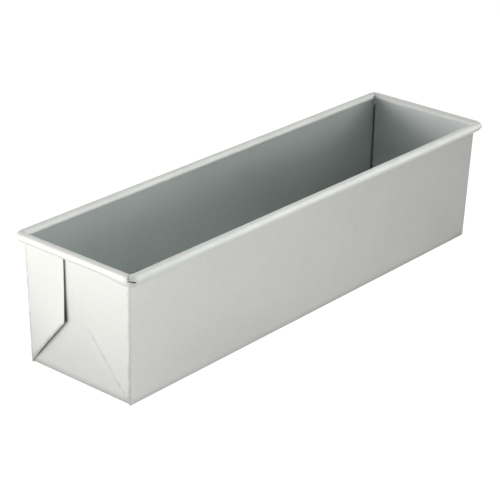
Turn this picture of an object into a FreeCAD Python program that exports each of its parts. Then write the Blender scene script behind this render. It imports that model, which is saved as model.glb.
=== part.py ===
# Folded loaf pan with a wired rim: one bent sheet, modelled panel by panel, and the wire in its rolled edge.
# X runs along the pan, Y across it, Z up. The origin is the middle of the floor's underside.
import FreeCAD, Part
import os

import Sketcher

# Driving sizes, in millimetres, and angles in degrees
driving = {
    "total_height": 101.6,  # from the underside to the top of the rim
    "mouth_length": 406.4,  # over the end walls, at the height of the rim's top
    "mouth_width": 101.6,  # over the side walls, at the same height
    "end_taper": 4.6,  # how much shorter the pan is at the underside
    "side_taper": 3.8,  # how much narrower it is there
    "sheet_thickness": 0.55,
    "layer_gap": 0.1,  # left between sheets that lie folded on each other
    "wire_diameter": 5.72,
    "wire_clearance": 0.1,  # between the wire and the sheet rolled round it
    "mouth_corner_radius": 0.4,  # inner corner of the rolled rim, seen from above
    "notch_angle": 54,  # corner notch under the rim, seen from above
    "notch_rise": 0.3,  # top of that notch above the middle of the wire
    "flap_spacing": 22,  # between the cut edges of the two flaps on one end
    "fold_angle": 50,  # slanting fold of a flap, from the horizontal
    "flap_spring": 4,  # how far a flap's free edge would stand off at its lowest
    "cut_overrun": 5,  # how far every cut reaches past what it cuts
}

doc = FreeCAD.newDocument("loaf_pan")
sizes = doc.addObject("Spreadsheet::Sheet", "sizes")
for row, (name, number) in enumerate(driving.items(), start=1):
    sizes.set(f"A{row}", name)
    sizes.set(f"B{row}", str(number))
    sizes.setAlias(f"B{row}", name)
doc.recompute()

# Sizes that follow from the driving ones
thickness = "sizes.sheet_thickness"
gap = "sizes.layer_gap"
overrun = "sizes.cut_overrun"
half_floor_length = "((sizes.mouth_length - sizes.end_taper) / 2)"
half_floor_width = "((sizes.mouth_width - sizes.side_taper) / 2)"
end_slope = "(sizes.end_taper / 2 / sizes.total_height)"
side_slope = "(sizes.side_taper / 2 / sizes.total_height)"
layer = f"({thickness} + {gap})"
fold_outside = f"({thickness} + {gap} / 2)"  # a sheet folded flat on itself
bend_inside = f"({fold_outside} + {gap})"  # every bend clears such a fold
bend_outside = f"({bend_inside} + {thickness})"
curl_inside = "(sizes.wire_diameter / 2 + sizes.wire_clearance)"
curl_outside = f"({curl_inside} + {thickness})"
wire_height = f"(sizes.total_height - {curl_outside})"
wire_corner = f"({curl_outside} + sizes.mouth_corner_radius)"
flap_top = f"({wire_height} - {curl_outside} - {gap})"
flap_edge = "(sizes.flap_spacing / 2)"


def end_face(height):
    # outer face of an end wall, from the middle
    return f"({half_floor_length} + {end_slope} * {height})"


def side_face(height):
    # outer face of a side wall, from the middle
    return f"({half_floor_width} + {side_slope} * {height})"


def flap_face(height):
    # outer face of a flap, which lies over its inner leaf on the end wall
    return f"({end_face(height)} + 2 * {layer})"


def corner_x(height):
    # axis of an upright corner bend
    return f"({flap_face(height)} - {bend_outside})"


def corner_y(height):
    return f"({side_face(height)} - {bend_outside})"


wire_x = f"({end_face(wire_height)} + {curl_inside})"  # centre line of the wire
wire_y = f"({side_face(wire_height)} + {curl_inside})"
rim_axis_x = f"({wire_x} - {wire_corner})"  # axis of a rim corner
rim_axis_y = f"({wire_y} - {wire_corner})"


def value(expression):
    return float(sizes.evalExpression(expression))


def new_body(label):
    body = doc.addObject("PartDesign::Body", label)
    body.Label = label
    return body


def new_sketch(body, role, offset=("0", "0", "0")):
    # the offset is along the plane's own two axes and its normal
    plane = next(item for item in body.Origin.OriginFeatures if item.Role == role)
    sketch = body.newObject("Sketcher::SketchObject", f"{body.Name}_sketch")
    sketch.AttachmentSupport = (plane, [""])
    sketch.MapMode = "FlatFace"
    for axis, distance in zip("xyz", offset):
        sketch.setExpression(f"AttachmentOffset.Base.{axis}", distance)
    return sketch


def pin(sketch, edge, end, across, up):
    # holds one end of an edge at a place given by two expressions
    for kind, axis, place in (("DistanceX", -2, across), ("DistanceY", -1, up)):
        if place == "0":
            sketch.addConstraint(Sketcher.Constraint("PointOnObject", edge, end, axis))
        else:
            number = sketch.addConstraint(Sketcher.Constraint(kind, -1, 1, edge, end, value(place)))
            sketch.setExpression(f"Constraints[{number}]", place)


def outline(sketch, corners, arcs=None):
    # a closed outline through the corners; arcs maps a corner's number to (centre, radius, turn) of the
    # arc that leaves it, under a half circle, where turn is 1 for anticlockwise and -1 for clockwise
    arcs = arcs or {}
    up = FreeCAD.Vector(0, 0, 1)
    places = [FreeCAD.Vector(value(across), value(height), 0) for across, height in corners]
    ends = []
    for number, place in enumerate(places):
        following = places[(number + 1) % len(places)]
        if number in arcs:
            (across, height), radius, turn = arcs[number]
            middle = FreeCAD.Vector(value(across), value(height), 0)
            first, last = (place, following) if turn > 0 else (following, place)
            circle = Part.Circle(middle, up, value(radius))
            arc = Part.ArcOfCircle(circle, circle.parameter(first), circle.parameter(last))
            edge = sketch.addGeometry(arc)
            constraint = sketch.addConstraint(Sketcher.Constraint("Radius", edge, value(radius)))
            sketch.setExpression(f"Constraints[{constraint}]", radius)
            ends.append((edge, 1, 2) if turn > 0 else (edge, 2, 1))
        else:
            ends.append((sketch.addGeometry(Part.LineSegment(place, following)), 1, 2))
    for number, (edge, start, _) in enumerate(ends):
        before, _, finish = ends[number - 1]
        sketch.addConstraint(Sketcher.Constraint("Coincident", before, finish, edge, start))
        pin(sketch, edge, start, *corners[number])


def pad(body, sketch, length):
    feature = body.newObject("PartDesign::Pad", f"{body.Name}_pad")
    feature.Profile = sketch
    feature.SideType = "Symmetric"
    feature.setExpression("Length", length)


def trim(body, sketch):
    feature = body.newObject("PartDesign::Pocket", f"{body.Name}_trim")
    feature.Profile = sketch
    feature.Type = "ThroughAll"
    feature.SideType = "Symmetric"


def turn_corner(body, sketch):
    # turns a section a quarter round the sketch's upright axis, from the front towards the left end
    feature = body.newObject("PartDesign::Revolution", f"{body.Name}_turn")
    feature.Profile = sketch
    feature.ReferenceAxis = (sketch, ["V_Axis"])
    feature.Angle = 90
    feature.Reversed = True


def loft(body, section):
    # a ruled solid between the section at the top of the bottom bends and the one under the rim
    sketches = []
    for height, spring in ((bend_outside, "sizes.flap_spring"), (flap_top, "0")):
        sketch = new_sketch(body, "XY_Plane", ("0", "0", height))
        outline(sketch, *section(height, spring))
        sketches.append(sketch)
    feature = body.newObject("PartDesign::AdditiveLoft", f"{body.Name}_loft")
    feature.Profile = sketches[0]
    feature.Sections = sketches[1:]
    feature.Ruled = True


def mirrored(source, label, normal):
    copy = doc.addObject("Part::Mirroring", label)
    copy.Label = label
    copy.Source = source
    copy.Normal = normal
    return copy


across_length = FreeCAD.Vector(1, 0, 0)
across_width = FreeCAD.Vector(0, 1, 0)
towards_front_left = 225  # degrees from +X, seen from above


# Floor: the flat between the four bottom bends
def bend_start(half_size, slope):
    # where a bottom bend leaves the floor, so that it ends tangent to its leaning wall
    return f"({half_size} + {slope} * {bend_outside} - {bend_outside} * sqrt(1 + {slope}^2))"


def floor_panel():
    body = new_body("floor_panel")
    sketch = new_sketch(body, "XY_Plane", ("0", "0", f"{thickness} / 2"))
    half_length = bend_start(half_floor_length, end_slope)
    half_width = bend_start(half_floor_width, side_slope)
    outline(sketch, [
        (f"-{half_length}", f"-{half_width}"),
        (half_length, f"-{half_width}"),
        (half_length, half_width),
        (f"-{half_length}", half_width),
    ])
    pad(body, sketch, thickness)
    return body


# Walls: a bottom bend and a leaning sheet up to the middle of the rim wire
def wall_section(sketch, half_size, slope):
    lean = f"sqrt(1 + {slope}^2)"
    start = bend_start(half_size, slope)
    top = f"({half_size} + {slope} * {wire_height})"
    corners = [
        (f"-{start}", "0"),
        (f"-{start} - {bend_outside} / {lean}", f"{bend_outside} - {bend_outside} * {slope} / {lean}"),
        (f"-{top}", wire_height),
        (f"-{top} + {thickness} * {lean}", wire_height),
        (f"-{start} - {bend_inside} / {lean}", f"{bend_outside} - {bend_inside} * {slope} / {lean}"),
        (f"-{start}", thickness),
    ]
    centre = (f"-{start}", bend_outside)
    outline(sketch, corners, {0: (centre, bend_outside, -1), 4: (centre, bend_inside, 1)})


def wall(label, section_plane, face_plane, half_size, slope, corner, rim_axis):
    # ends at the upright corners, and above the flaps at the rim corners
    body = new_body(label)
    section = new_sketch(body, section_plane)
    wall_section(section, half_size, slope)
    reach = f"({corner(wire_height)} + {overrun})"
    pad(body, section, f"2 * {reach}")
    beyond = f"({reach} + {overrun})"
    above = f"{wire_height} + {overrun}"
    ends = new_sketch(body, face_plane)
    for side in ("-", ""):
        outline(ends, [
            (f"{side}{corner('0')}", f"-{overrun}"),
            (f"{side}{corner('0')}", "0"),
            (f"{side}{corner(flap_top)}", flap_top),
            (f"{side}{rim_axis}", flap_top),
            (f"{side}{rim_axis}", above),
            (f"{side}{beyond}", above),
            (f"{side}{beyond}", f"-{overrun}"),
        ])
    trim(body, ends)
    return body


def side_wall():
    return wall("side_wall_front", "YZ_Plane", "XZ_Plane", half_floor_width, side_slope, corner_x, rim_axis_x)


def end_wall():
    return wall("end_wall_left", "XZ_Plane", "YZ_Plane", half_floor_length, end_slope, corner_y, rim_axis_y)


# Corner gussets: each doubled on a slanting fold and laid over the end wall, its free edge sprung out
def fold_height(across, rise):
    # height of the slanting fold, raised by a distance square to it, at a place from the middle
    run = f"({corner_y(bend_outside)} - {across})"
    return f"({bend_outside} + {run} * tan(sizes.fold_angle) + {rise} / cos(sizes.fold_angle))"


def trim_at_fold(body, start, rise, limit):
    # takes away what lies between the raised fold and a limit in height, from the start past the free edge
    sketch = new_sketch(body, "YZ_Plane")
    finish = f"({flap_edge} - {overrun})"
    outline(sketch, [
        (f"-{start}", limit),
        (f"-{start}", fold_height(start, rise)),
        (f"-{finish}", fold_height(finish, rise)),
        (f"-{finish}", limit),
    ])
    trim(body, sketch)


def outer_leaf_section(height, spring):
    # round the upright corner from the side wall, then along the end
    face, side = flap_face(height), side_face(height)
    inside = f"({face} - {thickness})"
    centre = (f"-{corner_x(height)}", f"-{corner_y(height)}")
    corners = [
        (f"-{corner_x(height)}", f"-{side}"),
        (f"-{face}", f"-{corner_y(height)}"),
        (f"-{face} - {spring}", f"-{flap_edge}"),
        (f"-{inside} - {spring}", f"-{flap_edge}"),
        (f"-{inside}", f"-{corner_y(height)}"),
        (f"-{corner_x(height)}", f"-{side} + {thickness}"),
    ]
    return corners, {0: (centre, bend_outside, -1), 4: (centre, bend_inside, 1)}


def fold_return_section(height, spring):
    # the sheet's turn along the slanting fold, from the middle of the outer leaf to behind the inner leaf
    outside = f"({flap_face(height)} - {thickness} / 2)"
    inside = f"({end_face(height)} + {gap})"
    return [
        (f"-{outside}", f"-{corner_y(height)}"),
        (f"-{outside} - {spring}", f"-{flap_edge}"),
        (f"-{inside} - {spring}", f"-{flap_edge}"),
        (f"-{inside}", f"-{corner_y(height)}"),
    ], None


def flap_outer_leaf():
    body = new_body("flap_outer_leaf_front_left")
    loft(body, fold_return_section)
    trim_at_fold(body, side_face(flap_top), thickness, f"{flap_top} + {overrun}")
    loft(body, outer_leaf_section)
    trim_at_fold(body, corner_y(bend_outside), "0", f"{bend_outside} - {overrun}")
    # rounded foot where the upright corner meets the floor
    foot = new_sketch(body, "YZ_Plane", (f"-{corner_y(bend_outside)}", "0", f"-{corner_x(bend_outside)}"))
    centre = ("0", bend_outside)
    corners = [
        ("0", "0"),
        (f"-{bend_outside}", bend_outside),
        (f"-{bend_inside}", bend_outside),
        ("0", thickness),
    ]
    outline(foot, corners, {0: (centre, bend_outside, -1), 2: (centre, bend_inside, 1)})
    turn_corner(body, foot)
    return body


def inner_leaf_section(height, spring):
    # the end wall's edge folded back on itself, then along the end
    wall_face = end_face(height)
    fold = corner_y(height)
    middle = f"({wall_face} + {gap} / 2)"
    centre = (f"-{middle}", f"-{fold}")
    corners = [
        (f"-{wall_face} + {thickness}", f"-{fold}"),
        (f"-{middle}", f"-{fold} - {fold_outside}"),
        (f"-{wall_face} - {layer}", f"-{fold}"),
        (f"-{wall_face} - {layer} - {spring}", f"-{flap_edge}"),
        (f"-{wall_face} - {gap} - {spring}", f"-{flap_edge}"),
        (f"-{wall_face} - {gap}", f"-{fold}"),
        (f"-{middle}", f"-{fold} - {gap} / 2"),
        (f"-{wall_face}", f"-{fold}"),
    ]
    arcs = {number: (centre, fold_outside, -1) for number in (0, 1)}
    arcs.update({number: (centre, f"{gap} / 2", 1) for number in (5, 6)})
    return corners, arcs


def flap_inner_leaf():
    body = new_body("flap_inner_leaf_front_left")
    loft(body, inner_leaf_section)
    trim_at_fold(body, side_face(bend_outside), layer, f"{bend_outside} - {overrun}")
    return body


# Rim: the top edge of the sheet rolled outwards round the wire, notched at the corners
def curl_wrap(slope):
    # how far the roll goes round, until its raw edge nears the leaning wall
    clear = f"({curl_inside} / sqrt(1 + {slope}^2) - {gap})"
    return f"(360 deg + atan({slope}) - acos({clear} / {curl_outside}))"


def curl_section(sketch, across, wrap, foot=None):
    # a roll round a wire at that distance, from the wall at its inner side, over the top, to the raw edge;
    # with a foot, it starts as an upright leg at that height
    arc_count = 3
    corners = []
    arcs = {}
    centre = (f"-{across}", wire_height)
    for radius, turn, order in (
        (curl_outside, 1, range(arc_count + 1)),
        (curl_inside, -1, range(arc_count, -1, -1)),
    ):
        for step in order:
            angle = f"({wrap} * {step} / {arc_count})"
            if step != order[-1]:
                arcs[len(corners)] = (centre, radius, turn)
            along, up = (f"{radius} * {function}({angle})" for function in ("cos", "sin"))
            corners.append((f"-{across} + {along}", f"{wire_height} + {up}"))
    if foot:
        corners += [(f"-{across} + {radius}", foot) for radius in (curl_inside, curl_outside)]
    outline(sketch, corners, arcs)


def rim_curl(label, plane, across, slope, half_length):
    body = new_body(label)
    sketch = new_sketch(body, plane)
    curl_section(sketch, across, curl_wrap(slope))
    pad(body, sketch, f"2 * {half_length}")
    return body


def rim_corner():
    # the roll and the sheet above the flaps, turned round the corner, with the notch that lets it bend
    body = new_body("rim_corner_front_left")
    section = new_sketch(body, "YZ_Plane", (f"-{rim_axis_y}", "0", f"-{rim_axis_x}"))
    curl_section(section, wire_corner, f"min({curl_wrap(end_slope)}; {curl_wrap(side_slope)})", flap_top)
    turn_corner(body, section)
    notch_top = f"{wire_height} + sizes.notch_rise"
    notch = new_sketch(body, "XY_Plane", (f"-{rim_axis_x}", f"-{rim_axis_y}", notch_top))
    near = f"({wire_corner} - {curl_inside} + {gap} / 2)"
    far = f"({wire_corner} + {curl_outside} + {overrun})"
    first, last = (f"({towards_front_left} {side} sizes.notch_angle / 2)" for side in "-+")
    corners = [
        (f"{radius} * cos({angle})", f"{radius} * sin({angle})")
        for radius, angle in ((near, first), (far, first), (far, last), (near, last))
    ]
    outline(notch, corners, {3: (("0", "0"), near, -1)})
    feature = body.newObject("PartDesign::Pocket", "rim_notch")
    feature.Profile = notch
    feature.setExpression("Length", f"sizes.notch_rise + {curl_outside} + {overrun}")
    return body


def rim_wire():
    # a closed frame of round wire, followed anticlockwise from the middle of the front
    body = new_body("rim_wire")
    path = new_sketch(body, "XY_Plane", ("0", "0", wire_height))
    corners = [("0", f"-{wire_y}")]
    arcs = {}
    for along, across in (("", "-"), ("", ""), ("-", ""), ("-", "-")):
        on_long_side = (f"{along}{rim_axis_x}", f"{across}{wire_y}")
        on_end = (f"{along}{wire_x}", f"{across}{rim_axis_y}")
        arcs[len(corners)] = ((f"{along}{rim_axis_x}", f"{across}{rim_axis_y}"), wire_corner, 1)
        corners += [on_end, on_long_side] if along == across else [on_long_side, on_end]
    outline(path, corners, arcs)
    section = new_sketch(body, "YZ_Plane")
    radius = "sizes.wire_diameter / 2"
    middle = FreeCAD.Vector(value(f"-{wire_y}"), value(wire_height), 0)
    circle = section.addGeometry(Part.Circle(middle, FreeCAD.Vector(0, 0, 1), value(radius)))
    pin(section, circle, 3, f"-{wire_y}", wire_height)
    constraint = section.addConstraint(Sketcher.Constraint("Radius", circle, value(radius)))
    section.setExpression(f"Constraints[{constraint}]", radius)
    feature = body.newObject("PartDesign::AdditivePipe", "rim_wire_pipe")
    feature.Profile = section
    feature.Spine = (path, [f"Edge{number + 1}" for number in range(path.GeometryCount)])
    return body


# The pan is the same left to right and front to back, so the rest are mirror images
side = side_wall()
end = end_wall()
front_curl = rim_curl("rim_curl_front", "YZ_Plane", wire_y, side_slope, rim_axis_x)
left_curl = rim_curl("rim_curl_left", "XZ_Plane", wire_x, end_slope, rim_axis_y)
nodes = [
    floor_panel(),
    rim_wire(),
    side,
    mirrored(side, "side_wall_back", across_width),
    end,
    mirrored(end, "end_wall_right", across_length),
    front_curl,
    mirrored(front_curl, "rim_curl_back", across_width),
    left_curl,
    mirrored(left_curl, "rim_curl_right", across_length),
]
for piece in (flap_outer_leaf(), flap_inner_leaf(), rim_corner()):
    name = piece.Label.removesuffix("_front_left")
    right = mirrored(piece, f"{name}_front_right", across_length)
    nodes += [
        piece,
        right,
        mirrored(piece, f"{name}_back_left", across_width),
        mirrored(right, f"{name}_back_right", across_width),
    ]

doc.recompute()
for item in doc.Objects:
    if "Invalid" in item.State or "Error" in item.State:
        raise RuntimeError(f"{item.Name} failed: {item.State}")
for node in nodes:
    if node.Shape.isNull() or not node.Shape.isValid() or len(node.Shape.Solids) != 1:
        raise RuntimeError(f"{node.Label} is not one valid solid")

os.makedirs("parts", exist_ok=True)
for node in nodes:
    node.Shape.exportStep(f"parts/{node.Label}.step")
    print(f"{node.Label}: {node.Shape.Volume:.1f} mm3")
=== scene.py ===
import bpy
import bmesh
from math import acos, atan, atan2, cos, pi, radians, sin, sqrt, tan
from mathutils import Matrix, Vector, noise


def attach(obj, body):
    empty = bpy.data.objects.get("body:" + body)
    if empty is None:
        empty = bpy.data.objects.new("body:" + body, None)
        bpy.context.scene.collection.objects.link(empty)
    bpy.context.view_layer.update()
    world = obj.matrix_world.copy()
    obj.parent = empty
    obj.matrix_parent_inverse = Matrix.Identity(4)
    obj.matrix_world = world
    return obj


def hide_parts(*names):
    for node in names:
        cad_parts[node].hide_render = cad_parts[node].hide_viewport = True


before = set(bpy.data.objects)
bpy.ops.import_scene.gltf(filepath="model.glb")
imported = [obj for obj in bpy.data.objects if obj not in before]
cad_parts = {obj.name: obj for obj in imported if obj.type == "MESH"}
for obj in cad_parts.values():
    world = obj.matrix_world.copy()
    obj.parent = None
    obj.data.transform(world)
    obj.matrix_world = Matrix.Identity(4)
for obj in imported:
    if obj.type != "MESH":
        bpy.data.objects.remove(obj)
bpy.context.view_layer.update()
print("frame loaded,", len(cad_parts), "nodes")

# the folded sheet, in metres, as the CAD has it
pan = {
    "mouthLength": 0.4064,
    "mouthWidth": 0.1016,
    "floorLength": 0.4018,
    "floorWidth": 0.0978,
    "height": 0.1016,
    "sheet": 0.00055,
    "layerGap": 0.0001,
    "wire": 0.00572,
    "wireClearance": 0.0001,
    "mouthCorner": 0.0004,
}
sheet = pan["sheet"]
layer = sheet + pan["layerGap"]
foldRadius = sheet + pan["layerGap"] / 2
bendRadius = foldRadius + pan["layerGap"] + sheet
endLean = (pan["mouthLength"] - pan["floorLength"]) / 2 / pan["height"]
sideLean = (pan["mouthWidth"] - pan["floorWidth"]) / 2 / pan["height"]
rollInside = pan["wire"] / 2 + pan["wireClearance"]
rollOutside = rollInside + sheet
wireHeight = pan["height"] - rollOutside
flapTop = wireHeight - rollOutside - pan["layerGap"]
cornerNames = {(-1, -1): "front_left", (1, -1): "front_right", (-1, 1): "back_left", (1, 1): "back_right"}


def endFace(z):
    return pan["floorLength"] / 2 + endLean * z


def sideFace(z):
    return pan["floorWidth"] / 2 + sideLean * z


def cornerX(z):
    return endFace(z) + 2 * layer - bendRadius  # axis of an upright corner bend


def cornerY(z):
    return sideFace(z) - bendRadius


wireX = endFace(wireHeight) + rollInside
wireY = sideFace(wireHeight) + rollInside
wireCorner = rollOutside + pan["mouthCorner"]
rimX = wireX - wireCorner  # axis of a rim corner
rimY = wireY - wireCorner


def spread(first, last, count):
    return [first + (last - first) * i / (count - 1) for i in range(count)]


def ease(share):
    return share * share * (3 - 2 * share)


def fade(share, edge):
    # 0 at both ends of 0..1, 1 in the middle, with soft shoulders
    return ease(min(1, max(0, min(share, 1 - share) / edge)))


waveGain = 1.6  # brings the noise to about -1..1


def unevenness(a, b, wavelength, seed):
    # slow waviness of thin sheet
    return waveGain * noise.noise(Vector((a / wavelength, b / wavelength, seed)))


# finishes: effects that the coated sheet, its cut edges and the wire share
def effect(name, inputs, outputs):
    group = bpy.data.node_groups.new(name, "ShaderNodeTree")
    for socket, value in inputs.items():
        entry = group.interface.new_socket(socket, in_out="INPUT", socket_type="NodeSocketFloat")
        entry.default_value = value
    for socket in outputs:
        group.interface.new_socket(socket, in_out="OUTPUT", socket_type="NodeSocketFloat")
    return group, group.nodes.new("NodeGroupInput").outputs, group.nodes.new("NodeGroupOutput").inputs


def feed(tree, value, socket):
    if isinstance(value, bpy.types.NodeSocket):
        tree.links.new(value, socket)
    else:
        socket.default_value = value


def sums(tree, operation, *values, clamp=False):
    node = tree.nodes.new("ShaderNodeMath")
    node.operation = operation
    node.use_clamp = clamp
    for value, socket in zip(values, node.inputs):
        feed(tree, value, socket)
    return node.outputs[0]


def remap(tree, value, low, high, first, last):
    node = tree.nodes.new("ShaderNodeMapRange")
    settings = {"Value": value, "From Min": low, "From Max": high, "To Min": first, "To Max": last}
    for socket, setting in settings.items():
        feed(tree, setting, node.inputs[socket])
    return node.outputs["Result"]


# a mix node's colour sockets come after those for numbers and vectors
mixSockets = {"share": 0, "first": 6, "second": 7, "mixed": 2}


def blend(tree, share, first, second):
    node = tree.nodes.new("ShaderNodeMix")
    node.data_type = "RGBA"
    for socket, value in (("share", share), ("first", first), ("second", second)):
        feed(tree, value, node.inputs[mixSockets[socket]])
    return node.outputs[mixSockets["mixed"]]


def cloudNoise(tree, place, detail, roughness=0.5):
    node = tree.nodes.new("ShaderNodeTexNoise")
    node.inputs["Scale"].default_value = 1
    node.inputs["Detail"].default_value = detail
    node.inputs["Roughness"].default_value = roughness
    tree.links.new(place, node.inputs["Vector"])
    return node.outputs["Fac"]


def onBlank(tree, length, width, turn=0.0):
    # place on the flat blank, counted in lengths along the rolling direction and widths across it
    blank = tree.nodes.new("ShaderNodeUVMap")
    blank.uv_map = "blank"
    turned = tree.nodes.new("ShaderNodeVectorRotate")
    turned.rotation_type = "Z_AXIS"
    turned.inputs["Angle"].default_value = turn
    tree.links.new(blank.outputs["UV"], turned.inputs["Vector"])
    parts = tree.nodes.new("ShaderNodeSeparateXYZ")
    tree.links.new(turned.outputs["Vector"], parts.inputs[0])
    whole = tree.nodes.new("ShaderNodeCombineXYZ")
    feed(tree, sums(tree, "DIVIDE", parts.outputs["X"], length), whole.inputs["X"])
    feed(tree, sums(tree, "DIVIDE", parts.outputs["Y"], width), whole.inputs["Y"])
    return whole.outputs[0]


def onObject(tree, size):
    place = tree.nodes.new("ShaderNodeTexCoord")
    scaled = tree.nodes.new("ShaderNodeVectorMath")
    scaled.operation = "SCALE"
    tree.links.new(place.outputs["Object"], scaled.inputs[0])
    feed(tree, sums(tree, "DIVIDE", 1.0, size), scaled.inputs["Scale"])
    return scaled.outputs[0]


# fine streaks along the sheet's rolling direction
rollingGrain, given, made = effect("rollingGrain", {"Length": 0.03, "Width": 0.0004}, ["Streaks"])
streaks = onBlank(rollingGrain, given["Length"], given["Width"])
feed(rollingGrain, cloudNoise(rollingGrain, streaks, detail=4, roughness=0.62), made["Streaks"])

# cloudiness of the dipped coating, broad and fine
coatClouds, given, made = effect("coatClouds", {"Size": 0.05, "Fine Size": 0.004}, ["Clouds", "Mottle"])
broad, fine = onObject(coatClouds, given["Size"]), onObject(coatClouds, given["Fine Size"])
feed(coatClouds, cloudNoise(coatClouds, broad, detail=3), made["Clouds"])
feed(coatClouds, cloudNoise(coatClouds, fine, detail=5, roughness=0.65), made["Mottle"])

# sparse hairline scratches from stacking and handling: their directions, where a line sets in, and in
# which patches
scratches = {"turns": (0.35, -0.6, 1.2), "line": (0.7, 0.78), "patch": (0.5, 0.62), "patchSize": 0.03}
lineSizes = {"Length": 0.03, "Width": 0.0005, "Amount": 1.0}
handlingMarks, given, made = effect("handlingMarks", lineSizes, ["Marks"])
marks = 0.0
for turn in scratches["turns"]:
    line = cloudNoise(handlingMarks, onBlank(handlingMarks, given["Length"], given["Width"], turn), detail=1)
    marks = sums(handlingMarks, "MAXIMUM", marks, remap(handlingMarks, line, *scratches["line"], 0.0, 1.0))
patchy = cloudNoise(handlingMarks, onObject(handlingMarks, scratches["patchSize"]), detail=1)
marks = sums(handlingMarks, "MULTIPLY", marks, remap(handlingMarks, patchy, *scratches["patch"], 0.0, 1.0))
feed(handlingMarks, sums(handlingMarks, "MULTIPLY", marks, given["Amount"], clamp=True), made["Marks"])

# the bent sheet, less so in patches: rubbed coating, and on the pan's walls and floor painted shade along
# the bends
bendPatches = {"patch": (0.35, 0.65), "least": 0.6}
bendWear, given, made = effect("bendWear", {"Grain": 0.0015}, ["Wear"])
bent = bendWear.nodes.new("ShaderNodeAttribute")
bent.attribute_name = "bent"
patchy = cloudNoise(bendWear, onObject(bendWear, given["Grain"]), detail=4, roughness=0.6)
patchy = remap(bendWear, patchy, *bendPatches["patch"], bendPatches["least"], 1.0)
feed(bendWear, sums(bendWear, "MULTIPLY", bent.outputs["Fac"], patchy, clamp=True), made["Wear"])

# how much the effects count in a finish
shares = {
    "clouds": 0.45,
    "mottle": 0.35,
    "streaks": 0.2,
    "tones": (0.3, 0.7),  # where the tone is all darker and all lighter
    "wearAndShade": 0.6,
    "grainRelief": 0.5,
    "markRelief": -0.8,
    "reliefHeight": 0.0001,
}


def metalFinish(name, look):
    metal = bpy.data.materials.new(name)
    metal.use_nodes = True
    tree = metal.node_tree
    principled = tree.nodes["Principled BSDF"]
    principled.inputs["Metallic"].default_value = 1

    def placed(group, **values):
        node = tree.nodes.new("ShaderNodeGroup")
        node.node_tree = group
        for socket, value in values.items():
            node.inputs[socket].default_value = value
        return node.outputs

    streaks = placed(rollingGrain, **look["grain"])["Streaks"]
    clouds = placed(coatClouds, **look["clouds"])
    marks = placed(handlingMarks, **look["marks"])["Marks"]
    wearAndShade = placed(bendWear, **look["wearAndShade"])["Wear"]

    # tone, about 0.5 in the middle
    tone = sums(tree, "MULTIPLY", clouds["Clouds"], shares["clouds"])
    tone = sums(tree, "MULTIPLY_ADD", clouds["Mottle"], shares["mottle"], tone)
    tone = sums(tree, "MULTIPLY_ADD", streaks, shares["streaks"], tone)
    toned = remap(tree, tone, *shares["tones"], 0.0, 1.0)
    shade = blend(tree, toned, (*look["darker"], 1), (*look["lighter"], 1))
    # scratches and bends take the rubbed colour: wear, and where that colour is darker, painted shade along
    # the bends
    wornAndShaded = sums(tree, "MAXIMUM", sums(tree, "MULTIPLY", wearAndShade, shares["wearAndShade"]), marks)
    tree.links.new(blend(tree, wornAndShaded, shade, (*look["rubbedAndShaded"], 1)), principled.inputs["Base Color"])

    # rubbed bends are smoother, clouds and grain vary the rest
    rough, uneven = look["roughness"], look["uneven"]
    dull = remap(tree, tone, *shares["tones"], rough + uneven, rough - uneven)
    dull = sums(tree, "MULTIPLY_ADD", wearAndShade, -look["polish"], dull)
    tree.links.new(dull, principled.inputs["Roughness"])

    height = sums(tree, "MULTIPLY_ADD", streaks, shares["grainRelief"], clouds["Mottle"])
    height = sums(tree, "MULTIPLY_ADD", marks, shares["markRelief"], height)
    relief = tree.nodes.new("ShaderNodeBump")
    relief.inputs["Strength"].default_value = look["relief"]
    relief.inputs["Distance"].default_value = shares["reliefHeight"]
    tree.links.new(height, relief.inputs["Height"])
    tree.links.new(relief.outputs["Normal"], principled.inputs["Normal"])
    return metal


coated = {
    "roughness": 0.44,
    "uneven": 0.04,
    "polish": 0.16,
    "relief": 0.12,
    "grain": {"Length": 0.03, "Width": 0.0004},
    "clouds": {"Size": 0.045, "Fine Size": 0.004},
    "marks": {"Length": 0.03, "Width": 0.0005, "Amount": 0.35},
    "wearAndShade": {"Grain": 0.0015},
}
panSteel = metalFinish("aluminisedSheet", {
    **coated,
    "darker": (0.70, 0.705, 0.68),
    "lighter": (0.77, 0.775, 0.75),
    # darker than the sheet: worn coating on scratches, and painted shade along the bends
    "rubbedAndShaded": (0.52, 0.525, 0.51),
})
# the inside faces: a cooler, slightly darker copy of the same sheet, painted cool shade of the interior
insideSteelPaintedShade = metalFinish("insideSheetPaintedShade", {
    **coated,
    "darker": (0.64, 0.675, 0.67),
    "lighter": (0.70, 0.735, 0.73),
    "rubbedAndShaded": (0.64, 0.675, 0.67),
})
rolledSteel = metalFinish("rolledSheet", {
    **coated,
    "darker": (0.72, 0.727, 0.708),
    "lighter": (0.78, 0.787, 0.768),
    "rubbedAndShaded": (0.78, 0.787, 0.768),
    "roughness": 0.80,
    "polish": 0.0,
    "clouds": {"Size": 0.03, "Fine Size": 0.003},
    "marks": {"Length": 0.02, "Width": 0.0005, "Amount": 0.4},
})
cutSteel = metalFinish("cutSheetEdge", {
    "darker": (0.56, 0.555, 0.545),
    "lighter": (0.66, 0.655, 0.645),
    "rubbedAndShaded": (0.68, 0.675, 0.665),
    "roughness": 0.40,
    "uneven": 0.06,
    "polish": 0.04,
    "relief": 0.2,
    "grain": {"Length": 0.004, "Width": 0.0003},
    "clouds": {"Size": 0.012, "Fine Size": 0.0012},
    "marks": {"Length": 0.01, "Width": 0.0003, "Amount": 0.5},
    "wearAndShade": {"Grain": 0.0008},
})
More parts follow.
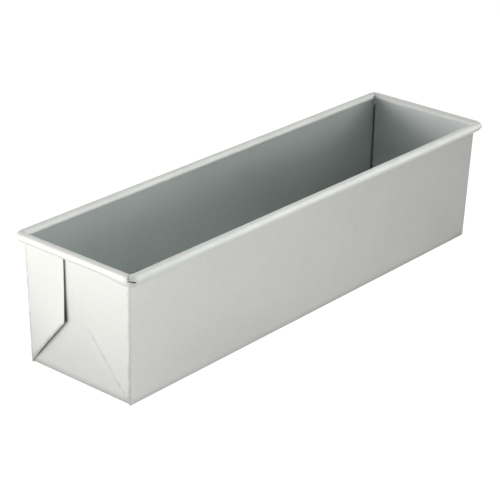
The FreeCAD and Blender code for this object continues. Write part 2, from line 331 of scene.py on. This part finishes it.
# the bare wire in a darker grey, which also paints shade into the rim's cracks and notches where it shows
rimSteel = metalFinish("rimWire", {
    "darker": (0.42, 0.415, 0.405),
    "lighter": (0.54, 0.535, 0.525),
    "rubbedAndShaded": (0.58, 0.575, 0.565),
    "roughness": 0.48,
    "uneven": 0.07,
    "polish": 0.04,
    "relief": 0.2,
    "grain": {"Length": 0.02, "Width": 0.0005},
    "clouds": {"Size": 0.015, "Fine Size": 0.0015},
    "marks": {"Length": 0.01, "Width": 0.0004, "Amount": 0.5},
    "wearAndShade": {"Grain": 0.001},
})
print("finishes made")

weldDistance = 1e-6
cutEdge = {"round": 0.00014, "segments": 2, "angle": radians(50)}


def sheetPiece(name, node, patches, outward, finish=panSteel, inside=None):
    # patches are grids of (place, place on the flat blank, bent or not), on the face that gets the
    # thickness behind it
    bm = bmesh.new()
    blank = bm.loops.layers.uv.new("blank")
    bent = bm.verts.layers.float.new("bent")
    for rows in patches:
        grid = []
        for row in rows:
            line = []
            for place, flat, worked in row:
                v = bm.verts.new(place)
                v[bent] = worked
                line.append((v, flat))
            grid.append(line)
        for upper, lower in zip(grid, grid[1:]):
            for j in range(len(upper) - 1):
                corners = (upper[j], upper[j + 1], lower[j + 1], lower[j])
                face = bm.faces.new([v for v, _ in corners])
                face.smooth = True
                for loop, (_, flat) in zip(face.loops, corners):
                    loop[blank].uv = flat
    bmesh.ops.remove_doubles(bm, verts=bm.verts, dist=weldDistance)
    bmesh.ops.recalc_face_normals(bm, faces=bm.faces)
    if sum(f.normal.dot(outward(f.calc_center_median())) * f.calc_area() for f in bm.faces) < 0:
        bmesh.ops.reverse_faces(bm, faces=bm.faces)
    mesh = bpy.data.meshes.new(name)
    bm.to_mesh(mesh)
    bm.free()
    for metal in (finish, cutSteel, inside or finish):
        mesh.materials.append(metal)
    piece = bpy.data.objects.new(name, mesh)
    bpy.context.scene.collection.objects.link(piece)
    gauge = piece.modifiers.new("gauge", "SOLIDIFY")
    gauge.thickness = sheet
    gauge.offset = -1
    gauge.use_even_offset = True
    gauge.material_offset_rim = 1  # cut edges, in the order above
    gauge.material_offset = 2  # inside faces, with the painted cool shade where that copy is given
    edge = piece.modifiers.new("cutEdge", "BEVEL")
    edge.limit_method = "ANGLE"
    edge.angle_limit = cutEdge["angle"]
    edge.width = cutEdge["round"]
    edge.segments = cutEdge["segments"]
    edge.harden_normals = True
    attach(piece, "root")
    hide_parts(node)
    return piece


# walls: a rounded bottom bend, then the leaning sheet up to the wire
wall = {
    "bendSteps": 9,
    "rows": 26,
    "longColumns": 110,
    "shortColumns": 34,
    "wave": 0.00022,
    "wavelength": 0.12,
    "waveFade": (0.15, 0.3),  # along the wall, and up it
    "seam": 0.0007,  # open seam inside, where an end wall meets a long wall
    "seamRise": 0.004,  # it closes over this height towards the bottom bend
    "rimStep": 0.0002,  # height over the flaps in which the wall takes the rim's length
}


def bendStart(half, lean):
    return half + lean * bendRadius - bendRadius * sqrt(1 + lean * lean)


def wallProfile(half, lean):
    # distance from the middle, height, length along the sheet, bent or not
    start = bendStart(half, lean)
    profile = []
    for a in spread(0, atan2(1, lean), wall["bendSteps"]):
        profile.append((start + bendRadius * sin(a), bendRadius * (1 - cos(a)), start + bendRadius * a, 1.0))
    _, footHeight, footLength, _ = profile[-1]
    for z in spread(footHeight, flapTop, wall["rows"])[1:] + [flapTop + wall["rimStep"], wireHeight]:
        profile.append((half + lean * z, z, footLength + (z - footHeight) * sqrt(1 + lean * lean), 0.0))
    return profile


def seamAt(z):
    return wall["seam"] * min(1, max(0, (z - bendRadius) / wall["seamRise"]))


def wallWave(share, z, along, seed):
    fadeAlong, fadeUp = wall["waveFade"]
    height = wall["wave"] * fade(share, fadeAlong) * fade(z / wireHeight, fadeUp)
    return height * unevenness(along, z, wall["wavelength"], seed)


def longWall(name, node, side, seed):
    rows = []
    for y, z, length, bent in wallProfile(pan["floorWidth"] / 2, sideLean):
        reach = cornerX(z) if z <= flapTop else rimX
        row = []
        for share in spread(0, 1, wall["longColumns"]):
            x = reach * (2 * share - 1)
            row.append((Vector((x, side * (y + wallWave(share, z, x, seed)), z)), (x, side * length), bent))
        rows.append(row)
    return sheetPiece(name, node, [rows], lambda c: Vector((0, side, -0.5)), inside=insideSteelPaintedShade)


def endWall(name, node, side, seed):
    rows = []
    for x, z, length, bent in wallProfile(pan["floorLength"] / 2, endLean):
        reach = cornerY(z) - seamAt(z) if z <= flapTop else rimY
        row = []
        for share in spread(0, 1, wall["shortColumns"]):
            y = reach * (2 * share - 1)
            row.append((Vector((side * (x + wallWave(share, z, y, seed)), y, z)), (side * length, y), bent))
        rows.append(row)
    return sheetPiece(name, node, [rows], lambda c: Vector((side, 0, -0.5)), inside=insideSteelPaintedShade)


longWall("frontWall", "side_wall_front", -1, 2.3)
longWall("backWall", "side_wall_back", 1, 7.9)
endWall("leftWall", "end_wall_left", -1, 4.1)
endWall("rightWall", "end_wall_right", 1, 9.6)
print("walls made")

# floor: it only ever bulges upwards, so the pan stands on its edges
floorSheet = {
    "columns": 90,
    "rows": 24,
    "wave": 0.00018,
    "wavelength": 0.15,
    "waveFade": (0.1, 0.3),  # along the floor, and across it
    "seed": 5.2,
}


def panFloor():
    halfLength = bendStart(pan["floorLength"] / 2, endLean)
    halfWidth = bendStart(pan["floorWidth"] / 2, sideLean)
    fadeAlong, fadeAcross = floorSheet["waveFade"]
    rows = []
    for v in spread(0, 1, floorSheet["rows"]):
        row = []
        for u in spread(0, 1, floorSheet["columns"]):
            x, y = halfLength * (2 * u - 1), halfWidth * (2 * v - 1)
            bulge = 0.5 + 0.5 * unevenness(x, y, floorSheet["wavelength"], floorSheet["seed"])
            z = floorSheet["wave"] * fade(u, fadeAlong) * fade(v, fadeAcross) * max(0, bulge)
            row.append((Vector((x, y, z)), (x, y), 0.0))
        rows.append(row)
    return sheetPiece("panFloor", "floor_panel", [rows], lambda c: Vector((0, 0, -1)), inside=insideSteelPaintedShade)


panFloor()
print("floor made")

# corner gussets: the side wall's sheet goes round the corner, doubles back on a slanting fold and joins
# the end wall
flap = {
    # from the middle of the end to the cut edge, and how far the leaf under it stays behind
    "edge": {"front_left": 0.011, "front_right": 0.011, "back_left": 0.0121, "back_right": 0.011},
    "inset": 0.001,
    "angle": radians(50),  # the slanting fold, from the horizontal
    # sprung off the end wall by this at the tip, where the cut edge meets the fold
    "spring": {"front_left": 0.0002, "front_right": 0.0012, "back_left": 0.0014, "back_right": 0.0007},
    "springBow": 0.6,
    "columns": 26,
    "rows": 24,
    "bendSteps": 9,
    "foldSteps": 9,
    "footSteps": 7,
}


def foldHeight(across, rise):
    # the slanting fold, raised by a distance square to it
    return bendRadius + (cornerY(bendRadius) - across) * tan(flap["angle"]) + rise / cos(flap["angle"])


def standOff(across, z, edge):
    # shape of the sprung flap, 1 at the tip: tight at the top, most along the fold
    down = (flapTop - z) / (flapTop - foldHeight(edge, foldRadius))
    out = max(0, (cornerY(z) - across) / (cornerY(z) - edge))
    return down * down * out * (1 + flap["springBow"] * (1 - out))


def leafGrid(corner, depth, inset=0.0, opened=0.0):
    # a leaf between the fold and the rim, from the upright corner to its cut edge, that far off the end wall
    tip, spring = flap["edge"][corner], flap["spring"][corner]
    edge, foot = tip + inset, cornerY(bendRadius)
    rows = []
    for v in spread(1, 0, flap["rows"]):
        row = []
        for s in spread(0, 1, flap["columns"]):
            low = foldHeight(foot + (edge - foot) * s, foldRadius)
            z = low + v * (flapTop - low)
            start = cornerY(z) - opened * seamAt(z)
            across = start + (edge - start) * s
            row.append(Vector((endFace(z) + depth + spring * standOff(across, z, tip), across, z)))
        rows.append(row)
    return rows


def outerLeaf(sx, sy):
    def sheetPoint(p, along, up, bent):
        flat = (sx * (cornerX(0) + along), sy * (pan["floorWidth"] / 2 + up))
        return Vector((sx * p[0], sy * p[1], p[2])), flat, bent

    def alongLeaf(p):
        # on the sheet, from where the upright bend begins
        return bendRadius * pi / 2 + cornerY(p.z) - p.y

    # the flat leaf
    corner = cornerNames[sx, sy]
    leaf = leafGrid(corner, 2 * layer)
    leafRows = [[sheetPoint(p, alongLeaf(p), p.z, 0.0) for p in row] for row in leaf]
    # the upright bend, down to its rounded foot
    bendRows = []
    for z in [row[0].z for row in leaf] + [bendRadius]:
        row = []
        for a in spread(0, pi / 2, flap["bendSteps"]):
            p = (cornerX(z) + bendRadius * sin(a), cornerY(z) + bendRadius * cos(a), z)
            row.append(sheetPoint(p, bendRadius * a, z, 1.0))
        bendRows.append(row)
    footRows = []
    for tip in spread(0, pi / 2, flap["footSteps"]):
        row = []
        for a in spread(0, pi / 2, flap["bendSteps"]):
            reach, z = bendRadius * cos(tip), bendRadius * (1 - sin(tip))
            p = (cornerX(bendRadius) + reach * sin(a), cornerY(bendRadius) + reach * cos(a), z)
            row.append(sheetPoint(p, bendRadius * a, z, 1.0))
        footRows.append(row)
    # the slanting fold: half a turn under the leaf, to behind it
    foldRows = []
    for turn in spread(0, pi, flap["foldSteps"]):
        row = []
        for p in leaf[-1]:
            drop = foldRadius * sin(turn)
            q = (
                p.x - foldRadius * (1 - cos(turn)),
                p.y - drop * sin(flap["angle"]),
                p.z - drop * cos(flap["angle"]),
            )
            row.append(sheetPoint(q, alongLeaf(p), p.z - foldRadius * turn, 1.0))
        foldRows.append(row)

    def outward(c):
        return Vector((sx, sy, 0))

    patches = [leafRows, bendRows, footRows, foldRows]
    return sheetPiece(f"flapOuter_{corner}", f"flap_outer_leaf_{corner}", patches, outward)


def innerLeaf(sx, sy):
    def sheetPoint(p, along, bent):
        return Vector((sx * p[0], sy * p[1], p[2])), (sx * (pan["floorLength"] / 2 + p[2]), sy * along), bent

    corner = cornerNames[sx, sy]
    leaf = leafGrid(corner, layer, flap["inset"], 1.0)
    leafRows = [[sheetPoint(p, 2 * cornerY(p.z) - p.y, 0.0) for p in row] for row in leaf]
    # the end wall's edge folded back on itself
    foldRows = []
    for row in leaf:
        z = row[0].z
        line = []
        for turn in spread(0, pi, flap["foldSteps"]):
            p = (
                endFace(z) + pan["layerGap"] / 2 - foldRadius * cos(turn),
                cornerY(z) - seamAt(z) + foldRadius * sin(turn),
                z,
            )
            line.append(sheetPoint(p, cornerY(z) + foldRadius * turn, 1.0))
        foldRows.append(line)

    def outward(c):
        return Vector((sx, 0, 0)) if abs(c.y) < cornerY(0) else Vector((0, sy, 0))

    return sheetPiece(f"flapInner_{corner}", f"flap_inner_leaf_{corner}", [leafRows, foldRows], outward)


for corner in cornerNames:
    outerLeaf(*corner)
    innerLeaf(*corner)
print("flaps made")

# rim: the top of the sheet rolled outwards round the wire, with a notch under each corner
rim = {
    "steps": 40,  # round the wire
    "longColumns": 130,
    "shortColumns": 40,
    "wobble": 0.00010,
    "wobbleFade": 0.08,
    "wobbleFrom": 1.5,  # turn of the roll, in radians, from which it is all there
    "wobbleUp": 0.6,  # against sideways
    "wavelength": 0.06,
    # the roll hangs lower where it is loose: its sag in the middle, and how far from its ends the corners'
    # sags begin to fade and are gone
    "rolls": {
        "rimFront": {"sag": 0.0005, "loose": (0.035, 0.065)},
        "rimBack": {"sag": 0.0, "loose": (0.0, 0.02)},
        "rimLeft": {"sag": 0.0, "loose": (0.0, 0.028)},
        "rimRight": {"sag": 0.0, "loose": (0.0, 0.02)},
    },
    # in degrees: the notch from the long side on, how far the lip comes over the wire at its two ends, how
    # wide the slit is before the tucked sheet below it, or none, then the crack's place, start and end; a
    # crack that starts below 0 runs up from the foot of the leg
    "corners": {
        "front_left": {
            "notch": (16, 62),
            "lip": (186, 170),
            "slit": 13,
            "crack": (60, 35, 168),
            "crackWidth": 0.00025,
            "flare": 0.0,
            "sag": 0.0020,
        },
        "front_right": {
            "notch": (18, 76),
            "lip": (196, 190),
            "slit": None,
            "crack": (7, 20, 100),
            "crackWidth": 0.00025,
            "flare": 0.0007,
            "sag": 0.0,
        },
        "back_left": {
            "notch": (30, 66),
            "lip": (190, 184),
            "slit": 10,
            "crack": (53, 15, 166),
            "crackWidth": 0.00025,
            "flare": 0.0,
            "sag": 0.0,
        },
        "back_right": {
            "notch": (18, 72),
            "lip": (175, 175),
            "slit": None,
            "crack": (43, -1, 105),
            "crackWidth": 0.0006,
            "flare": 0.0,
            "sag": 0.0,
        },
    },
    "flareFrom": radians(110),
    "flareFade": 0.4,
    "cornerStep": radians(5),
    "legRows": 4,
    "lipRows": 20,
    "underRows": 18,
    "tuckedRows": 15,
    "tolerance": 1e-4,  # in radians, for places round the corner that count as the same
    "digits": 5,
}


def rollWrap(lean):
    # until the raw edge nears the leaning wall
    return 2 * pi + atan(lean) - acos((rollInside / sqrt(1 + lean * lean) - pan["layerGap"]) / rollOutside)


def hang(angle, sag):
    # the lower half of the roll pulled down by its sag
    return sag * min(0, sin(angle))


def rollSag(name, along, half, alongX, side):
    # from the middle's sag to the corners' sags
    sag = rim["rolls"][name]["sag"]
    begins, gone = rim["rolls"][name]["loose"]
    total = sag
    for end in (-1, 1):
        corner = cornerNames[(end, side) if alongX else (side, end)]
        share = min(1, max(0, (half - end * along - begins) / (gone - begins)))
        total += (rim["corners"][corner]["sag"] - sag) * (1 - ease(share))
    return total


def rimRoll(name, node, alongX, side, seed):
    half, centre = (rimX, wireY) if alongX else (rimY, wireX)
    lean = sideLean if alongX else endLean
    columns = rim["longColumns"] if alongX else rim["shortColumns"]
    rows = []
    for angle in spread(0, rollWrap(lean), rim["steps"]):
        row = []
        for share in spread(0, 1, columns):
            along = half * (2 * share - 1)
            loose = rim["wobble"] * fade(share, rim["wobbleFade"]) * min(1, angle / rim["wobbleFrom"])
            outwards, upwards = (loose * unevenness(along, k, rim["wavelength"], seed) for k in (0, 1))
            across = centre - rollOutside * cos(angle) + outwards
            z = wireHeight + rollOutside * sin(angle) + rim["wobbleUp"] * upwards
            z += hang(angle, rollSag(name, along, half, alongX, side))
            length = centre + wireHeight + rollOutside * angle
            if alongX:
                row.append((Vector((along, side * across, z)), (along, side * length), 1.0))
            else:
                row.append((Vector((side * across, along, z)), (side * length, along), 1.0))
        rows.append(row)

    def outward(c):
        middle = (c.x, side * centre) if alongX else (side * centre, c.y)
        return c - Vector((*middle, wireHeight))

    return sheetPiece(name, node, [rows], outward, rolledSteel)


def rimCorner(sx, sy):
    corner = cornerNames[sx, sy]
    form = rim["corners"][corner]
    notchStart, notchEnd = (radians(a) for a in form["notch"])
    lipStart, lipEnd = (radians(a) for a in form["lip"])
    crack, crackFirst, crackLast = (radians(a) for a in form["crack"])
    wrap = min(rollWrap(sideLean), rollWrap(endLean))
    half = form["crackWidth"] / 2 / wireCorner
    if abs(crack - notchEnd) < half:
        notchEnd = crack + half  # the crack opens into the end of the notch

    def lipAt(turn):
        share = (turn - notchStart) / (notchEnd - notchStart)
        return lipStart + (lipEnd - lipStart) * min(1, max(0, share))

    def sheetPoint(turn, share):
        # share -1..0 is the upright leg, 0..1 over the wire to the lip's edge, 1..2 on under the wire
        lip = lipAt(turn)
        if share < 0:
            length = share * (wireHeight - flapTop)
            reach, z = pan["mouthCorner"], wireHeight + length
        else:
            angle = lip * share if share < 1 else lip + (wrap - lip) * (share - 1)
            flared = max(0, (angle - rim["flareFrom"]) / (lip - rim["flareFrom"]))
            flared *= flared * fade((turn - notchStart) / (notchEnd - notchStart), rim["flareFade"])
            reach = wireCorner - rollOutside * cos(angle) + form["flare"] * flared
            z = wireHeight + rollOutside * sin(angle) + hang(angle, form["sag"])
            length = rollOutside * angle
        p = Vector((sx * (rimX + reach * sin(turn)), sy * (rimY + reach * cos(turn)), z))
        return p, (sx * (rimX + wireCorner * turn), sy * (wireY + wireHeight + length)), 1.0

    def grid(turns, shares):
        return [[sheetPoint(turn, share) for turn in turns] for share in shares] if len(turns) > 1 else []

    def overWire(start, end):
        return spread(start, end, 3 + int(rim["lipRows"] * (end - start)))

    stops = [0, notchStart, crack - half, crack + half, notchEnd, pi / 2]
    stops = sorted(set(round(max(0, min(pi / 2, s)), rim["digits"]) for s in stops))
    turns = stops[:1]
    for a, b in zip(stops, stops[1:]):
        turns += spread(a, b, 2 + int((b - a) / rim["cornerStep"]))[1:]
    near = rim["tolerance"]
    sides = [t for t in turns if t < crack - half + near], [t for t in turns if t > crack + half - near]
    beside = [t for t in turns if t < notchStart + near], [t for t in turns if t > notchEnd - near]
    first, last = max(0, crackFirst / lipAt(crack)), min(1, crackLast / lipAt(crack))

    patches = [grid(part, spread(-1, 0, rim["legRows"])) for part in (sides if crackFirst < 0 else [turns])]
    if first > 0:
        patches.append(grid(turns, overWire(0, first)))
    patches += [grid(part, overWire(first, last)) for part in sides]
    if last < 1:
        patches.append(grid(turns, overWire(last, 1)))
    patches += [grid(part, spread(1, 2, rim["underRows"])) for part in beside]
    if form["slit"]:
        between = [t for t in turns if notchStart - near < t < notchEnd + near]
        tucked = 1 + radians(form["slit"]) / (wrap - lipAt(crack))
        patches.append(grid(between, spread(tucked, 2, rim["tuckedRows"])))

    def outward(c):
        flat = Vector((c.x - sx * rimX, c.y - sy * rimY, 0))
        axis = Vector((sx * rimX, sy * rimY, wireHeight)) + flat.normalized() * wireCorner
        return c - axis

    return sheetPiece(f"rimCorner_{corner}", f"rim_corner_{corner}", patches, outward, rolledSteel)


rimRoll("rimFront", "rim_curl_front", True, -1, 1.7)
rimRoll("rimBack", "rim_curl_back", True, 1, 6.4)
rimRoll("rimLeft", "rim_curl_left", False, -1, 3.8)
rimRoll("rimRight", "rim_curl_right", False, 1, 8.5)
for corner in cornerNames:
    rimCorner(*corner)
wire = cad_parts["rim_wire"]
wire.data.materials.clear()
wire.data.materials.append(rimSteel)
print("rim made")

# camera at the photograph's place
cameraView = {
    "azimuth": -50.3001,
    "elevation": 24.0339,
    "roll": 1.4851,
    "eye": (-0.96777, -0.78730, 0.59268),
    "lens": 127.435,
    "sensor": 36,
}
azimuth, elevation, roll = (radians(cameraView[k]) for k in ("azimuth", "elevation", "roll"))
back = Vector((sin(azimuth) * cos(elevation), -cos(azimuth) * cos(elevation), sin(elevation)))
levelRight = (-back).cross(Vector((0, 0, 1))).normalized()
levelUp = levelRight.cross(-back)
right = levelRight * cos(roll) + levelUp * sin(roll)
up = levelUp * cos(roll) - levelRight * sin(roll)
camera = bpy.data.objects.new("camera", bpy.data.cameras.new("camera"))
camera.data.lens = cameraView["lens"]
camera.data.sensor_width = cameraView["sensor"]
camera.matrix_world = Matrix.Translation(cameraView["eye"]) @ Matrix((right, up, back)).transposed().to_4x4()
bpy.context.scene.collection.objects.link(camera)
bpy.context.scene.camera = camera
bpy.context.scene.view_settings.view_transform = "Standard"
print("camera set")

# studio: lamps by bearing from +X and height in degrees; a shift moves a lamp's aim along X, and a grid on
# the lamp narrows its spread
studio = {
    "aim": Vector((0, 0, 0.05)),
    "distance": 1.3,
    "lamps": {
        "backLeftLight": {
            "bearing": 150,
            "height": 12,
            "size": (1.04, 0.52),
            "brightness": 8.2,
            "colour": (1, 0.98, 0.97),
        },
        "endLight": {
            "bearing": 180,
            "height": 25,
            "size": (0.6, 0.5),
            "brightness": 1.2,
            "colour": (1, 0.965, 0.88),
        },
        "frontLight": {
            "bearing": 300,
            "height": 25,
            "size": (1.0, 0.85),
            "brightness": 1.2,
            "colour": (0.97, 0.98, 0.96),
            "shift": -0.3,
            "spread": 70,
        },
        "backPanel": {
            "bearing": 30,
            "height": 65,
            "size": (1.2, 1.0),
            "brightness": 0.75,
            "colour": (0.97, 1, 1),
        },
    },
    # metal shows a white backdrop behind the pan and a darker room on the camera's side
    "room": {
        "toCamera": 1.0,
        "toMetal": 0.48,
        "bearing": radians(58),
        "range": (-0.4, 0.4),  # where the backdrop begins and is full, from across its bearing
        "rest": 0.06,  # what is left on the other side
    },
    # metal shows a floor with a painted pool of light from the left and painted shade beside the pan
    "floor": {
        "colour": (0.3, 0.3, 0.3, 1),
        "half": 6,
        "drop": 0.0003,
        "toCamera": 0.97,
        "toMetal": 0.83,
        "pool": (-0.22, 0.5),  # along X, where the painted pool of light begins to fade and is down to its rest
        "poolRest": 0.28,
        "shadeReach": 0.15,
        "shadeRest": 0.64,  # what is left of the glow right beside the pan, the painted shade
    },
}


def glowByPath(tree, toCamera, toMetal):
    # a strength for what the camera sees straight, and one for what it sees in metal and glass
    path = tree.nodes.new("ShaderNodeLightPath").outputs
    mirrored = sums(tree, "ADD", path["Is Glossy Ray"], path["Is Transmission Ray"], clamp=True)
    straight = sums(tree, "MULTIPLY", path["Is Camera Ray"], toCamera)
    return sums(tree, "MULTIPLY_ADD", mirrored, toMetal, straight)


room = studio["room"]
world = bpy.data.worlds.new("studio")
bpy.context.scene.world = world
world.use_nodes = True
tree = world.node_tree
background = tree.nodes["Background"]
background.inputs["Color"].default_value = (1, 1, 1, 1)
outlook = tree.nodes.new("ShaderNodeTexCoord")
facing = tree.nodes.new("ShaderNodeVectorMath")
facing.operation = "DOT_PRODUCT"
tree.links.new(outlook.outputs["Generated"], facing.inputs[0])
facing.inputs[1].default_value = (cos(room["bearing"]), sin(room["bearing"]), 0)
lowGlow = room["rest"] * room["toMetal"]
backdrop = remap(tree, facing.outputs["Value"], *room["range"], lowGlow, room["toMetal"])
tree.links.new(glowByPath(tree, room["toCamera"], backdrop), background.inputs["Strength"])

ground = studio["floor"]
half = ground["half"]
floorMesh = bpy.data.meshes.new("studioFloor")
floorCorners = [(-half, -half, 0), (half, -half, 0), (half, half, 0), (-half, half, 0)]
floorMesh.from_pydata(floorCorners, [], [(0, 1, 2, 3)])
floor = bpy.data.objects.new("studioFloor", floorMesh)
floor.location.z = -ground["drop"]
bpy.context.scene.collection.objects.link(floor)
floorPaint = bpy.data.materials.new("studioFloor")
floorPaint.use_nodes = True
tree = floorPaint.node_tree
tree.nodes.clear()
output = tree.nodes.new("ShaderNodeOutputMaterial")
matt = tree.nodes.new("ShaderNodeBsdfDiffuse")
matt.inputs["Color"].default_value = ground["colour"]
glow = tree.nodes.new("ShaderNodeEmission")
both = tree.nodes.new("ShaderNodeAddShader")
place = tree.nodes.new("ShaderNodeTexCoord")
along = tree.nodes.new("ShaderNodeSeparateXYZ")
tree.links.new(place.outputs["Object"], along.inputs[0])
lowGlow = ground["poolRest"] * ground["toMetal"]
pool = remap(tree, along.outputs["X"], *ground["pool"], ground["toMetal"], lowGlow)
# distance from the pan's footprint, for the painted shade beside it
beside = 0.0
for axis, reach in (("X", pan["floorLength"] / 2), ("Y", pan["floorWidth"] / 2)):
    outside = sums(tree, "SUBTRACT", sums(tree, "ABSOLUTE", along.outputs[axis]), reach)
    outside = sums(tree, "MAXIMUM", outside, 0.0)
    beside = sums(tree, "MULTIPLY_ADD", outside, outside, beside)
beside = sums(tree, "SQRT", beside)
shade = remap(tree, beside, 0.0, ground["shadeReach"], ground["shadeRest"], 1.0)
pool = sums(tree, "MULTIPLY", pool, shade)
tree.links.new(glowByPath(tree, ground["toCamera"], pool), glow.inputs["Strength"])
tree.links.new(matt.outputs[0], both.inputs[0])
tree.links.new(glow.outputs[0], both.inputs[1])
tree.links.new(both.outputs[0], output.inputs[0])
floorMesh.materials.append(floorPaint)


def softbox(name, bearing, height, size, brightness, colour, shift=0.0, spread=180):
    bearing, height = radians(bearing), radians(height)
    away = Vector((cos(height) * cos(bearing), cos(height) * sin(bearing), sin(height)))
    aim = studio["aim"] + Vector((shift, 0, 0))
    lamp = bpy.data.lights.new(name, "AREA")
    lamp.shape = "RECTANGLE"
    lamp.size, lamp.size_y = size
    lamp.energy = brightness * pi * size[0] * size[1]
    lamp.color = colour
    lamp.spread = radians(spread)
    stand = bpy.data.objects.new(name, lamp)
    stand.location = studio["aim"] + studio["distance"] * away
    stand.rotation_mode = "QUATERNION"
    stand.rotation_quaternion = (aim - stand.location).to_track_quat("-Z", "Y")
    stand.visible_camera = False
    bpy.context.scene.collection.objects.link(stand)


for name, settings in studio["lamps"].items():
    softbox(name, **settings)
print("studio set")
